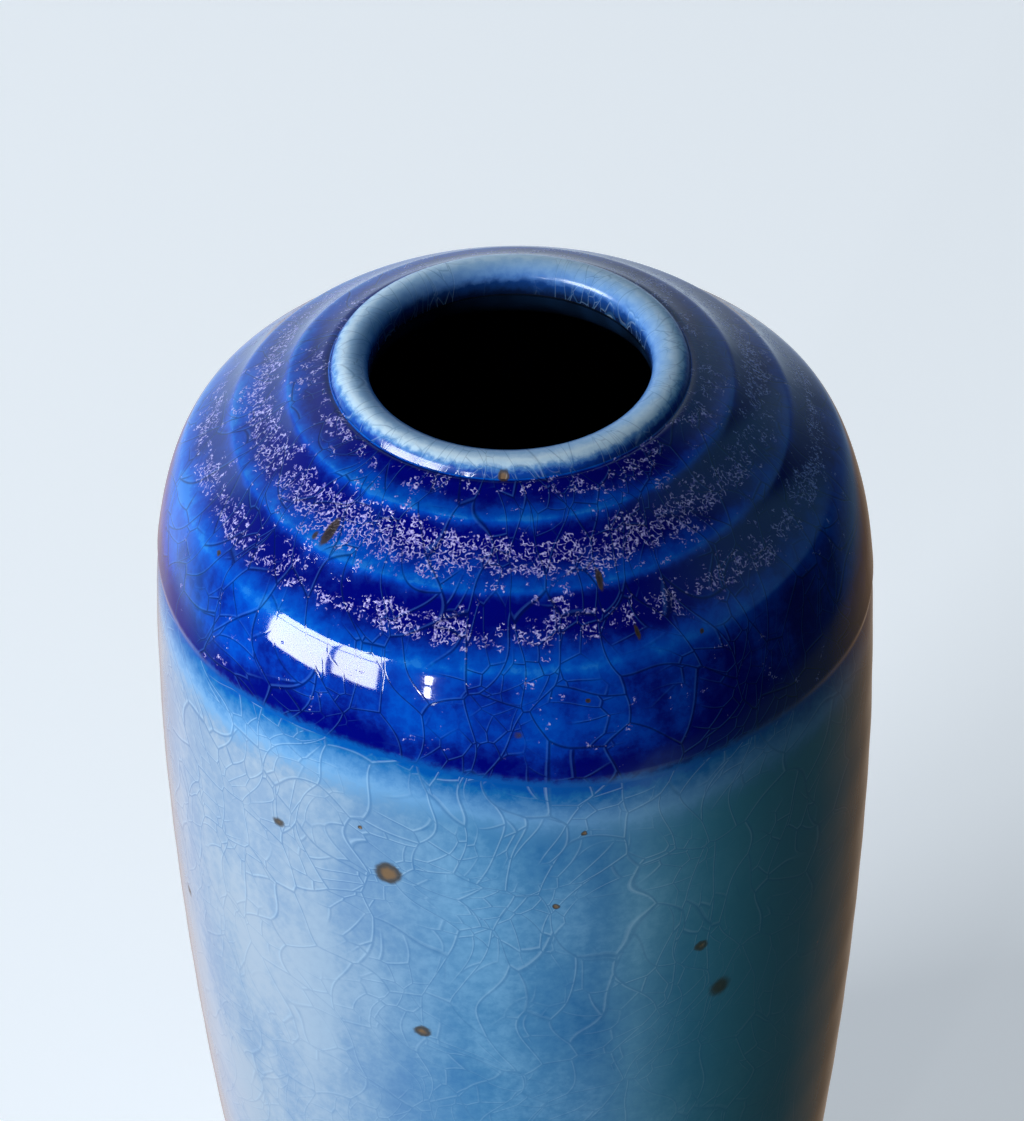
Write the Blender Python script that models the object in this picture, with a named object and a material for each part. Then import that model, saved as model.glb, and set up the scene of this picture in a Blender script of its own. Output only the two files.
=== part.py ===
"""Ceramic bud vase: a wheel-thrown stoneware body and the glaze coats fused onto it.

The vase is turned about +Z and stands on z = 0. Its clay body carries three coats of glass:
a pale blue base coat that runs from the foot line over the lip, a cobalt coat lapped over it
on the shoulder, and a liner coat inside. Every coat follows the clay at a fixed offset, so a
change to one size carries through all of them. Lengths are in metres.
"""

import math

import bmesh
import bpy

# Finished sizes, glaze included
HEIGHT = 0.140
BELLY_RADIUS = 0.0380
BELLY_DROP = 0.048
MOUTH_RADIUS = 0.0143
LIP_WIDTH = 0.0038
LIP_CROWN = 0.0013
NECK_DROP = 0.0019
CORNER_DROP = 0.0124
CORNER_INSET = 0.0052

# Clay body
WALL = 0.0042
FLOOR_THICKNESS = 0.0055
FOOT_INSET = 0.0084
FOOT_RING_WIDTH = 0.0052
FOOT_RECESS = 0.0028
FOOT_CHAMFER = 0.0008
FOOT_BAND = 0.0065
FOOT_FLARE = 0.0006
FLOOR_CORNER = 0.0110

# Throwing rings on the shoulder
RING_COUNT = 3
RING_DEPTH = 0.0006

# Glaze coats, and the gap that keeps each fused pair of solids apart
BASE_COAT = 0.0005
COBALT_COAT = 0.0004
LINER_COAT = 0.0005
FUSE_GAP = 0.0003
DIP_DROP = 0.0245
THROAT_DEPTH = 0.0030
LAP_GAP = 0.0003

# Faceting
TURN_STEPS = 36
LOWER_STEPS = 7
FLANK_STEPS = 2
CORNER_STEPS = 3
RING_STEPS = 4
LIP_STEPS = 6
SHELF_STEPS = 3
INNER_TOP_STEPS = 2
INNER_FLANK_STEPS = 4
INNER_LOWER_STEPS = 7
FLOOR_STEPS = 3
SMOOTH_ANGLE = math.radians(40)
MERGE_DISTANCE = 1e-7

# How finely a stretch's direction and heights are found
NUDGE = 1e-4
HALVINGS = 50

# How far the outline keeps its direction beside each of these places, as a share of the chord
FOOT_PULL = 0.20
BELLY_PULL = 0.36
CORNER_PULL = 0.16
NECK_PULL = 0.25
THROAT_PULL = 0.25
HOLLOW_PULL = 0.45

# Where along the shoulder, from its outer end, the throat's inner wall meets the shoulder's
SHELF_SHARE = 0.45

# Slopes of the outline above the horizontal
CORNER_SLOPE = math.radians(52)
NECK_SLOPE = math.radians(16)
FOOT_SLOPE = math.radians(76)

# Radius of the foot ring's outer side
FOOT_RADIUS = BELLY_RADIUS - FOOT_INSET

# Where the clay lies under its finished surface
BASE_STACK = FUSE_GAP + BASE_COAT
LINER_STACK = FUSE_GAP + LINER_COAT

# Base colour and roughness of each fired material
FINISHES = {
    "stoneware": ((0.62, 0.50, 0.38, 1.0), 0.85),
    "pale_blue_glaze": ((0.33, 0.52, 0.74, 1.0), 0.12),
    "cobalt_glaze": ((0.01, 0.05, 0.42, 1.0), 0.08),
    "liner_glaze": ((0.16, 0.27, 0.42, 1.0), 0.15),
}


class Stretch:
    """A smooth piece of the outline in the (radius, height) half plane, as a cubic curve."""

    def __init__(self, start, start_way, end, end_way, start_pull, end_pull):
        chord = math.dist(start, end)
        self.start = start
        self.leave = ahead(start, start_way, start_pull * chord)
        self.arrive = ahead(end, end_way, -end_pull * chord)
        self.end = end

    def point(self, t):
        """The point at share t of the way along."""
        weights = ((1 - t) ** 3, 3 * t * (1 - t) ** 2, 3 * t * t * (1 - t), t**3)
        handles = (self.start, self.leave, self.arrive, self.end)
        return tuple(sum(w * h[k] for w, h in zip(weights, handles)) for k in (0, 1))

    def normal(self, t):
        """The unit normal on the right of the direction of travel, which leaves the clay."""
        low, high = self.point(max(0.0, t - NUDGE)), self.point(min(1.0, t + NUDGE))
        along = math.dist(low, high)
        return ((high[1] - low[1]) / along, -(high[0] - low[0]) / along)

    def share_at_height(self, height):
        """The share of the way along at which a rising stretch reaches this height."""
        low, high = 0.0, 1.0
        for _ in range(HALVINGS):
            middle = (low + high) / 2
            low, high = (middle, high) if self.point(middle)[1] < height else (low, middle)
        return (low + high) / 2


def ahead(point, angle, distance):
    """The point this far from another along a direction given above the horizontal."""
    return (point[0] + distance * math.cos(angle), point[1] + distance * math.sin(angle))


def offset(station, distance):
    """A station's point moved out of the clay, or into it when the distance is negative."""
    (radius, height), (out_r, out_z) = station
    return (radius + out_r * distance, height + out_z * distance)


def shares(count, low=0.0, high=1.0):
    """Evenly spaced shares from low to high, without the last one."""
    return [low + (high - low) * i / count for i in range(count)]


def ring_depth(share):
    """How far the clay is drawn in at this share of the shoulder, counted from the neck.

    Each throwing ring drops steeply just outside the last crest and climbs slowly to the next.
    """
    within = (share * RING_COUNT) % 1.0
    return RING_DEPTH * math.sin(math.pi * math.sqrt(within))


def lower_body(clay_belly):
    """The clay from the foot line to the widest point."""
    start = (FOOT_RADIUS + FOOT_FLARE, FOOT_BAND)
    return Stretch(start, FOOT_SLOPE, clay_belly, math.pi / 2, FOOT_PULL, BELLY_PULL)


def upper_body(clay_belly, corner):
    """The clay from the widest point to the outermost throwing ring."""
    way = math.pi - CORNER_SLOPE
    return Stretch(clay_belly, math.pi / 2, corner, way, BELLY_PULL, CORNER_PULL)


def shoulder(corner, neck):
    """The clay from the outermost throwing ring in to the lip."""
    start_way, end_way = math.pi - CORNER_SLOPE, math.pi - NECK_SLOPE
    return Stretch(corner, start_way, neck, end_way, CORNER_PULL, NECK_PULL)


def stations(stretch, part_shares):
    """Stations, each a point and its outward normal, at these shares of a stretch."""
    return [(stretch.point(t), stretch.normal(t)) for t in part_shares]


def ringed_stations(stretch):
    """The shoulder's stations, drawn in by the throwing rings."""
    found = []
    for t in shares(RING_COUNT * RING_STEPS):
        point, normal = stretch.point(t), stretch.normal(t)
        found.append((offset((point, normal), -ring_depth(1.0 - t)), normal))
    return found


def lip_stations(centre, half_width, crown):
    """Half a turn over the rounded lip, from its outer side to the throat."""
    found = []
    for share in shares(LIP_STEPS) + [1.0]:
        across, up = math.cos(math.pi * share), math.sin(math.pi * share)
        point = (centre[0] + half_width * across, centre[1] + crown * up)
        steepness = math.hypot(across / half_width, up / crown)
        normal = (across / half_width / steepness, up / crown / steepness)
        found.append((point, normal))
    return found


def clay_stations():
    """The whole clay surface from the foot line, over the lip, to the middle of the floor.

    Returns the stations and the index of each one where a coat begins or ends.
    """
    belly = (BELLY_RADIUS - BASE_STACK, HEIGHT - BELLY_DROP)
    corner = clay_point(BELLY_RADIUS - CORNER_INSET, CORNER_DROP, CORNER_SLOPE)
    neck = clay_point(MOUTH_RADIUS + LIP_WIDTH, NECK_DROP, NECK_SLOPE)
    lower, upper, top = lower_body(belly), upper_body(belly, corner), shoulder(corner, neck)
    dip = upper.share_at_height(HEIGHT - DIP_DROP)

    found = stations(lower, shares(LOWER_STEPS))
    found += stations(upper, shares(FLANK_STEPS, 0.0, dip))
    marks = {"foot_line": 0, "dip_line": len(found)}
    found += stations(upper, shares(CORNER_STEPS, dip, 1.0))
    found += ringed_stations(top)
    marks["neck_line"] = len(found)

    clay_mouth = MOUTH_RADIUS + LINER_STACK
    half_width = (MOUTH_RADIUS + LIP_WIDTH - BASE_STACK - clay_mouth) / 2
    lip_centre = (clay_mouth + half_width, HEIGHT - LIP_CROWN)
    found += lip_stations(lip_centre, half_width, LIP_CROWN - BASE_STACK)
    inward = (-1.0, 0.0)
    found.append(((clay_mouth, HEIGHT - THROAT_DEPTH), inward))
    marks["throat_line"] = len(found)
    liner_top = (clay_mouth, HEIGHT - THROAT_DEPTH - LAP_GAP)
    found.append((liner_top, inward))
    return found + hollow_stations(lower, upper, top, liner_top), marks


def clay_point(finished_radius, drop, slope):
    """A clay point under the base coat, from its finished radius, its drop and its slope."""
    normal = (math.sin(slope), math.cos(slope))
    return offset(((finished_radius, HEIGHT - drop), normal), -BASE_STACK)


def hollow_stations(lower, upper, top, throat):
    """The hollow's clay surface, one wall inside the outer clay, down to the floor's middle."""
    floor = FOOT_RECESS + FLOOR_THICKNESS
    shelf = walled(top, SHELF_SHARE)
    shelf_way = math.atan2(shelf[1][0], -shelf[1][1])
    turn = Stretch(throat, -math.pi / 2, shelf[0], shelf_way, THROAT_PULL, HOLLOW_PULL)
    floor_share = lower.share_at_height(floor + FLOOR_CORNER)

    found = stations(turn, shares(SHELF_STEPS))[1:]
    found += [walled(top, t) for t in shares(INNER_TOP_STEPS, SHELF_SHARE, 0.0)]
    found += [walled(upper, t) for t in shares(INNER_FLANK_STEPS, 1.0, 0.0)]
    found += [walled(lower, t) for t in shares(INNER_LOWER_STEPS, 1.0, floor_share)]
    wall_end = walled(lower, floor_share)
    corner_end = (wall_end[0][0] - FLOOR_CORNER, floor)
    way = math.atan2(-wall_end[1][0], wall_end[1][1]) + math.pi
    bend = Stretch(wall_end[0], way, corner_end, math.pi, HOLLOW_PULL, HOLLOW_PULL)
    found += stations(bend, shares(FLOOR_STEPS))
    return found + [(corner_end, (0.0, 1.0)), ((0.0, floor), (0.0, 1.0))]


def walled(stretch, share):
    """The inner clay station one wall behind this share of an outer stretch."""
    normal = stretch.normal(share)
    point = offset((stretch.point(share), normal), -WALL)
    return point, (-normal[0], -normal[1])


def foot_outline():
    """The bare underside, from the middle of the recess out to the foot ring's edge."""
    ring_inner = FOOT_RADIUS - FOOT_RING_WIDTH
    return [
        (0.0, FOOT_RECESS),
        (ring_inner - FOOT_CHAMFER, FOOT_RECESS),
        (ring_inner, FOOT_CHAMFER),
        (ring_inner + FOOT_CHAMFER, 0.0),
        (FOOT_RADIUS - FOOT_CHAMFER, 0.0),
        (FOOT_RADIUS, FOOT_CHAMFER),
    ]


def coat_outline(section, inner, outer):
    """The closed outline of a coat that lies between two offsets from the clay."""
    under = [offset(station, inner) for station in section]
    face = [offset(station, outer) for station in section]
    return face + under[::-1]


def turned_solid(name, outline, material, parent):
    """Spins a closed outline about +Z into one solid object."""
    mesh = bpy.data.meshes.new(name)
    form = bmesh.new()
    corners = [form.verts.new((radius, 0.0, height)) for radius, height in outline]
    on_axis = outline[0][0] == 0.0 and outline[-1][0] == 0.0
    ends = corners[1:] if on_axis else corners[1:] + corners[:1]
    edges = [form.edges.new(pair) for pair in zip(corners, ends)]
    bmesh.ops.spin(
        form,
        geom=corners + edges,
        cent=(0.0, 0.0, 0.0),
        axis=(0.0, 0.0, 1.0),
        angle=math.tau,
        steps=TURN_STEPS,
    )
    bmesh.ops.remove_doubles(form, verts=form.verts, dist=MERGE_DISTANCE)
    bmesh.ops.dissolve_degenerate(form, edges=form.edges, dist=MERGE_DISTANCE)
    bmesh.ops.recalc_face_normals(form, faces=form.faces)
    form.to_mesh(mesh)
    form.free()
    mesh.shade_smooth()
    mesh.set_sharp_from_angle(angle=SMOOTH_ANGLE)
    mesh.materials.append(material)
    solid = bpy.data.objects.new(name, mesh)
    solid.parent = parent
    bpy.context.scene.collection.objects.link(solid)
    return solid


def ceramic_material(name):
    """A Principled material with this part's fired colour and gloss."""
    colour, roughness = FINISHES[name]
    material = bpy.data.materials.new(name)
    material.use_nodes = True
    shader = material.node_tree.nodes["Principled BSDF"]
    shader.inputs["Base Color"].default_value = colour
    shader.inputs["Roughness"].default_value = roughness
    shader.inputs["Metallic"].default_value = 0.0
    return material


def main():
    """Builds the clay body and its coats, each as its own turned solid."""
    for old in list(bpy.data.objects):
        bpy.data.objects.remove(old)
    axis = bpy.data.objects.new("vase_axis", None)
    bpy.context.scene.collection.objects.link(axis)

    clay, marks = clay_stations()
    outline = foot_outline() + [point for point, _ in clay]
    turned_solid("stoneware_body", outline, ceramic_material("stoneware"), axis)

    base = clay[marks["foot_line"] : marks["throat_line"]]
    base_outline = coat_outline(base, FUSE_GAP, BASE_STACK)
    turned_solid("base_glaze", base_outline, ceramic_material("pale_blue_glaze"), axis)

    cobalt = clay[marks["dip_line"] : marks["neck_line"]]
    cobalt_under = BASE_STACK + FUSE_GAP
    cobalt_outline = coat_outline(cobalt, cobalt_under, cobalt_under + COBALT_COAT)
    turned_solid("cobalt_glaze", cobalt_outline, ceramic_material("cobalt_glaze"), axis)

    liner = clay[marks["throat_line"] :]
    liner_face = [offset(station, LINER_STACK) for station in liner]
    liner_back = [offset(station, FUSE_GAP) for station in liner]
    liner_material = ceramic_material("liner_glaze")
    turned_solid("liner_glaze", liner_back[::-1] + liner_face, liner_material, axis)


if __name__ == "__main__":
    main()
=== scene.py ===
"""A ceramic bud vase: the looks of a wheel-thrown stoneware pot under three fused glazes.

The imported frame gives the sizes. Each coat of the pot is turned again here at a fine step, with
throwing rings, a glaze line that wanders and a soft rolled lip, and stands for its CAD node:

    stoneware   the bare foot, its trimmed underside and the clay under the glass
    pale glaze  the base coat, from the foot line up over the lip
    cobalt      the coat lapped over the shoulder, pooled dark between the throwing rings
    liner       the coat inside the hollow

The vase stands on z = 0 and turns about +Z. Its front faces -Y. Lengths in the mesh code are in
metres. Distances along the wall that the materials read are in millimetres from the lip's edge.
"""

import logging
import math
from collections.abc import Sequence
from dataclasses import dataclass
from enum import Enum

import bpy
import numpy as np
from mathutils import Matrix, Vector


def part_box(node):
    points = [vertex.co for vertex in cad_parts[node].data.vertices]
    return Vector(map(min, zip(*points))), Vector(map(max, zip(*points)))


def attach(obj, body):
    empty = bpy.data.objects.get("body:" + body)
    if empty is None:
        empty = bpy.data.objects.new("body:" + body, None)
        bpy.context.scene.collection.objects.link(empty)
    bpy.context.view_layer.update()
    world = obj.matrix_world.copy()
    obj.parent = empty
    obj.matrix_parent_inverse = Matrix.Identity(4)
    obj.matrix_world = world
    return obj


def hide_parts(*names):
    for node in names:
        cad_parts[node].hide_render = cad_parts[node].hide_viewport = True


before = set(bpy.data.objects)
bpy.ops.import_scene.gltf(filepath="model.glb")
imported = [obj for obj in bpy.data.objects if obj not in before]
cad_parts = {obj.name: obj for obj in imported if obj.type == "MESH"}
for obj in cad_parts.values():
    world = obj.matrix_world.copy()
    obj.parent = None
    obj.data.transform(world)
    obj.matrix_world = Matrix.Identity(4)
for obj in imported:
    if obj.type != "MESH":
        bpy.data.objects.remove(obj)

log = logging.getLogger("bud_vase")

MM = 0.001
MAP_RADIUS = 34.0  # the wall is rolled out flat at this radius, in millimetres

Colour = tuple[float, float, float, float]
Stop = tuple[float, Colour]
Mark = tuple[Colour, float]
Point = tuple[float, float]


class Slot(Enum):
    """The record's material slots."""

    STONEWARE = "stoneware"
    PALE = "pale_blue_glaze"
    COBALT = "cobalt_glaze"
    LINER = "liner_glaze"


class Facts(Enum):
    """What each vertex of a coat says about its place, read by the materials."""

    ALONG = "along_wall_mm"
    LAP = "above_dip_mm"
    POOL = "glaze_pool"
    BLOOM = "crystal_bloom"


def hue(red: float, green: float, blue: float) -> Colour:
    """Turns an 8-bit display colour into the linear colour that a shader takes.

    Args:
        red: Red from 0 to 255.
        green: Green from 0 to 255.
        blue: Blue from 0 to 255.

    Returns:
        The linear colour with full alpha.
    """
    shares = (red / 255, green / 255, blue / 255)
    linear = [c / 12.92 if c <= 0.04045 else ((c + 0.055) / 1.055) ** 2.4 for c in shares]
    return (linear[0], linear[1], linear[2], 1.0)


def ease(values: np.ndarray, low: float, high: float) -> np.ndarray:
    """Rises smoothly from 0 at low to 1 at high."""
    share = np.clip((values - low) / (high - low), 0.0, 1.0)
    return share * share * (3.0 - 2.0 * share)


def tones(*rows: tuple[float, float, float, float]) -> tuple[Stop, ...]:
    """Ramp stops, each from its place and its linear red, green and blue."""
    return tuple((place, (red, green, blue, 1.0)) for place, red, green, blue in rows)


def bell(values: np.ndarray, centre: float, spread: float) -> np.ndarray:
    """A bell curve of height 1, whose spread is its standard deviation."""
    return np.exp(-0.5 * ((values - centre) / spread) ** 2)


def heading(turn: float, rise: float) -> Vector:
    """The direction of something seen from the vase.

    Args:
        turn: The angle from the front towards +X, in degrees.
        rise: The angle above level, in degrees.

    Returns:
        The unit direction.
    """
    turn, rise = math.radians(turn), math.radians(rise)
    level = math.cos(rise)
    return Vector((math.sin(turn) * level, -math.cos(turn) * level, math.sin(rise)))


# ---------------------------------------------------------------------------------- outlines


@dataclass(frozen=True)
class Bend:
    """A smooth cubic stretch between two points of the (radius, height) half plane."""

    start: Point
    start_way: float
    end: Point
    end_way: float
    start_pull: float
    end_pull: float

    def points(self, count: int) -> np.ndarray:
        """Evenly shared points along the stretch.

        Args:
            count: How many points, both ends included.

        Returns:
            An array of (radius, height) rows.
        """
        chord = math.dist(self.start, self.end)
        start, end = np.array(self.start), np.array(self.end)
        leave = start + chord * self.start_pull * self._way(self.start_way)
        arrive = end - chord * self.end_pull * self._way(self.end_way)
        t = np.linspace(0.0, 1.0, count)[:, None]
        return (
            (1 - t) ** 3 * start
            + 3 * t * (1 - t) ** 2 * leave
            + 3 * t * t * (1 - t) * arrive
            + t**3 * end
        )

    @staticmethod
    def _way(degrees: float) -> np.ndarray:
        """The unit direction this many degrees above the horizontal."""
        return np.array([math.cos(math.radians(degrees)), math.sin(math.radians(degrees))])


@dataclass(frozen=True)
class Surface:
    """An outline measured by the distance along it, with the way out of the clay."""

    along: np.ndarray
    spots: np.ndarray
    ways_out: np.ndarray

    @classmethod
    def through(cls, points: np.ndarray, start: float, side: float) -> "Surface":
        """Measures a run of points.

        Args:
            points: Rows of (radius, height).
            start: The distance given to the first point.
            side: 1 where the clay's outside lies left of the direction of travel, else -1.

        Returns:
            The measured surface.
        """
        steps = np.linalg.norm(np.diff(points, axis=0), axis=1)
        keep = np.concatenate([[True], steps > 1e-9])
        points = points[keep]
        steps = np.linalg.norm(np.diff(points, axis=0), axis=1)
        along = start + np.concatenate([[0.0], np.cumsum(steps)])
        travel = np.gradient(points, along, axis=0)
        travel /= np.linalg.norm(travel, axis=1)[:, None]
        ways_out = side * np.stack([-travel[:, 1], travel[:, 0]], axis=1)
        return cls(along, points, ways_out)

    def at(self, along: np.ndarray, lift: np.ndarray | float = 0.0) -> np.ndarray:
        """Points at these distances along the surface.

        Args:
            along: Distances along the surface.
            lift: How far each point stands out of the surface.

        Returns:
            Rows of (radius, height).
        """
        lift = np.broadcast_to(lift, np.shape(along))
        columns = [
            np.interp(along, self.along, self.spots[:, k])
            + lift * np.interp(along, self.along, self.ways_out[:, k])
            for k in (0, 1)
        ]
        return np.stack(columns, axis=1)

    def softened(self, radius: float, side: float) -> "Surface":
        """The surface with every corner rounded, as molten glass draws itself smooth.

        Args:
            radius: The spread of the rounding.
            side: The side that through() takes.

        Returns:
            The rounded surface, which keeps the distances of the sharp one.
        """
        fine = 0.05 * MM
        along = np.arange(self.along[0], self.along[-1], fine)
        sharp = self.at(along)
        reach = math.ceil(3 * radius / fine)
        weights = bell(np.arange(-reach, reach + 1) * fine, 0.0, radius)
        weights /= weights.sum()
        padded = np.pad(sharp, ((reach, reach), (0, 0)), mode="reflect", reflect_type="odd")
        soft = np.stack([np.convolve(padded[:, k], weights, "valid") for k in (0, 1)], axis=1)
        travel = np.gradient(soft, fine, axis=0)
        travel /= np.linalg.norm(travel, axis=1)[:, None]
        return Surface(along, soft, side * np.stack([-travel[:, 1], travel[:, 0]], axis=1))


def spaced(*stretches: tuple[float, float, float]) -> np.ndarray:
    """Distances along a wall, stretch by stretch.

    Args:
        *stretches: The start, end and spacing of each stretch, one after the other.

    Returns:
        The distances, with the last stretch's end included.
    """
    runs = [
        np.linspace(start, end, max(1, round(abs(end - start) / gap)), endpoint=False)
        for start, end, gap in stretches
    ]
    return np.concatenate([*runs, [stretches[-1][1]]])


# --------------------------------------------------------------------------------- pot's form


@dataclass(frozen=True)
class ThrownForm:
    """The finished shape of the pot, glaze included, built up from the frame's boxes."""

    height: float
    belly_radius: float
    foot_line: float
    dip_line: float
    floor: float
    belly_drop: float = 0.0480
    mouth_radius: float = 0.0143
    lip_width: float = 0.0038
    lip_crown: float = 0.0013
    neck_drop: float = 0.0019
    neck_slope: float = 16.0
    corner_drop: float = 0.0127
    corner_inset: float = 0.0052
    corner_slope: float = 52.0
    throat_depth: float = 0.0031
    wall: float = 0.0058
    foot_radius: float = 0.0296
    foot_slope: float = 76.0
    floor_corner: float = 0.0110
    shelf_share: float = 0.45
    softness: float = 0.00028
    crests: tuple[float, ...] = (0.0002, 0.0050, 0.0121, 0.0195)
    ring_depths: tuple[float, ...] = (0.00040, 0.00050, 0.00036)
    groove_lean: float = 0.85
    pool_lean: float = 0.6
    cobalt_build: float = 0.00075
    build_starts: tuple[float, float] = (-0.0002, 0.0012)
    build_fades: tuple[float, float] = (0.026, 0.050)
    foot_flare: float = 0.0014
    corner_pull: float = 0.16
    neck_pull: float = 0.25
    belly_pull: float = 0.36
    foot_pull: float = 0.20
    skin_gap: float = 0.00002
    throat_pulls: tuple[float, float] = (0.25, 0.45)
    bowl_pulls: tuple[float, float] = (0.45, 0.45)

    @classmethod
    def from_frame(cls) -> "ThrownForm":
        """Reads the pot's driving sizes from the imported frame."""
        base_low, base_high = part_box("base_glaze")
        cobalt_low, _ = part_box("cobalt_glaze")
        liner_low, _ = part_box("liner_glaze")
        return cls(
            height=base_high.z,
            belly_radius=base_high.x,
            foot_line=base_low.z,
            dip_line=cobalt_low.z,
            floor=liner_low.z + 0.5 * MM,
        )

    def ring_share(self, along: np.ndarray) -> tuple[np.ndarray, np.ndarray]:
        """Which throwing ring holds each place, and how far across the ring it lies.

        Args:
            along: Distances from the lip's edge, in metres.

        Returns:
            The ring's index, or -1 outside all rings, and the share from its inner crest.
        """
        ring = np.searchsorted(np.array(self.crests), along) - 1
        inside = (ring >= 0) & (ring < len(self.ring_depths))
        index = np.where(inside, ring, 0)
        starts = np.array(self.crests)[index]
        widths = np.diff(self.crests)[index]
        share = np.clip((along - starts) / widths, 0.0, 1.0)
        return np.where(inside, ring, -1), share

    def relief(self, along: np.ndarray) -> np.ndarray:
        """How far the wall stands out of its plain outline: more under two coats, less in rings.

        Args:
            along: Distances from the lip's edge, in metres.

        Returns:
            The shift out of the plain outline at each place.
        """
        ring, share = self.ring_share(along)
        depth = np.array([*self.ring_depths, 0.0])[ring]
        grooves = depth * np.sin(math.pi * share**self.groove_lean)
        build = ease(along, *self.build_starts) * (1.0 - ease(along, *self.build_fades))
        return self.cobalt_build * build - grooves

    def outer(self) -> Surface:
        """The outside, from the throat over the lip and down to the foot line.

        Returns:
            The surface, with distance 0 at the lip's outer edge.
        """
        belly, corner, neck = self._belly(), self._corner(), self._neck()
        half_lip = self.lip_width / 2
        lip_turn = np.linspace(math.pi, 0.0, 60)
        lip = np.stack(
            [
                self.mouth_radius + half_lip + half_lip * np.cos(lip_turn),
                self.height - self.lip_crown + self.lip_crown * np.sin(lip_turn),
            ],
            axis=1,
        )
        throat = np.array([[self.mouth_radius, self.height - self.throat_depth]])
        inner = np.concatenate([throat, lip])
        start = -np.linalg.norm(np.diff(inner, axis=0), axis=1).sum()
        run = [
            inner,
            self._shoulder(corner, neck).points(200)[::-1],
            self._flank(belly, corner).points(160)[::-1],
            self._lower(belly).points(160)[::-1],
        ]
        plain = Surface.through(np.concatenate(run), start, 1.0)
        fine = spaced((plain.along[0], plain.along[-1], 0.05 * MM))
        ringed = Surface(fine, plain.at(fine, self.relief(fine)), np.zeros((len(fine), 2)))
        return ringed.softened(self.softness, 1.0)

    def hollow(self) -> Surface:
        """The inside, from the throat down to the middle of the floor.

        Returns:
            The surface, with distance 0 at the throat.
        """
        belly, corner, neck = self._belly(), self._corner(), self._neck()
        walls = {
            "top": self._shoulder(corner, neck).points(200),
            "flank": self._flank(belly, corner).points(160)[::-1],
            "lower": self._lower(belly).points(160)[::-1],
        }
        shelf_start = round(self.shelf_share * len(walls["top"]))
        walls["top"] = walls["top"][:shelf_start][::-1]
        outer_run = np.concatenate(list(walls.values()))
        inner_run = Surface.through(outer_run, 0.0, 1.0)
        faced = inner_run.spots - self.wall * inner_run.ways_out
        faced = faced[faced[:, 1] > self.floor + self.floor_corner]
        first, last = faced[0], faced[-1]
        throat = (self.mouth_radius, self.height - self.throat_depth - 0.3 * MM)
        slope = math.degrees(math.atan2(faced[1][1] - first[1], faced[1][0] - first[0]))
        turn = Bend(throat, -90.0, tuple(first), slope, *self.throat_pulls)
        fall = math.degrees(math.atan2(last[1] - faced[-2][1], last[0] - faced[-2][0]))
        flat_edge = (last[0] - self.floor_corner, self.floor)
        corner_bend = Bend(tuple(last), fall, flat_edge, 180.0, *self.bowl_pulls)
        run = [
            turn.points(40),
            faced,
            corner_bend.points(30),
            np.array([[0.0, self.floor]]),
        ]
        return Surface.through(np.concatenate(run), 0.0, -1.0)

    def _belly(self) -> Point:
        """The widest point."""
        return (self.belly_radius - self.skin_gap, self.height - self.belly_drop)

    def _corner(self) -> Point:
        """Where the flank turns into the shoulder."""
        return (self.belly_radius - self.corner_inset, self.height - self.corner_drop)

    def _neck(self) -> Point:
        """Where the shoulder meets the lip."""
        return (self.mouth_radius + self.lip_width, self.height - self.neck_drop)

    def _shoulder(self, corner: Point, neck: Point) -> Bend:
        """The shoulder, from its outer corner in to the lip."""
        ways = 180.0 - self.corner_slope, 180.0 - self.neck_slope
        return Bend(corner, ways[0], neck, ways[1], self.corner_pull, self.neck_pull)

    def _flank(self, belly: Point, corner: Point) -> Bend:
        """The wall from the widest point up to the shoulder."""
        lean = 180.0 - self.corner_slope
        return Bend(belly, 90.0, corner, lean, self.belly_pull, self.corner_pull)

    def _lower(self, belly: Point) -> Bend:
        """The wall from the foot line up to the widest point."""
        foot = (self.foot_radius + self.foot_flare, self.foot_line)
        return Bend(foot, self.foot_slope, belly, 90.0, self.foot_pull, self.belly_pull)


@dataclass(frozen=True)
class HandMarks:
    """What the potter's hand left: a rim a little out of round and a glaze line that wanders.

    Each wave of the glaze line holds its depth in millimetres, how often it comes round the pot and
    the angle where it reaches lowest.
    """

    sway: float = 0.00005
    sway_twist: float = 18.0
    third_wave: float = 0.6
    spiral: float = 0.00003
    spiral_pitch: float = 0.0085
    dip_mean: float = 32.0
    dip_waves: tuple[tuple[float, int, float], ...] = ((1.6, 1, 100), (0.9, 2, 60), (0.5, 5, 11))

    def radius_shift(self, turn: np.ndarray, height: np.ndarray) -> np.ndarray:
        """How far the wall stands out of round.

        Args:
            turn: Angles from the front towards +X, in radians.
            height: Heights above the floor.

        Returns:
            The shift of each place away from the axis, which is never outwards.
        """
        most = 1.0 + self.third_wave
        oval = np.cos(2 * turn + 0.7 + self.sway_twist * height)
        waves = oval + self.third_wave * np.cos(3 * turn - 1.1)
        climb = np.sin(math.tau * height / self.spiral_pitch + turn)
        return self.sway * (waves - most) / most + self.spiral * (climb - 1.0) / 2

    def dip_along(self, turn: np.ndarray) -> np.ndarray:
        """How far below the lip's edge the cobalt ends.

        Args:
            turn: Angles from the front towards +X, in radians.

        Returns:
            The distance along the wall at each angle, in millimetres.
        """
        waves = (
            depth * np.cos(count * (turn - math.radians(lowest)))
            for depth, count, lowest in self.dip_waves
        )
        return self.dip_mean + sum(waves)


# ------------------------------------------------------------------------------------- meshes


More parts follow.
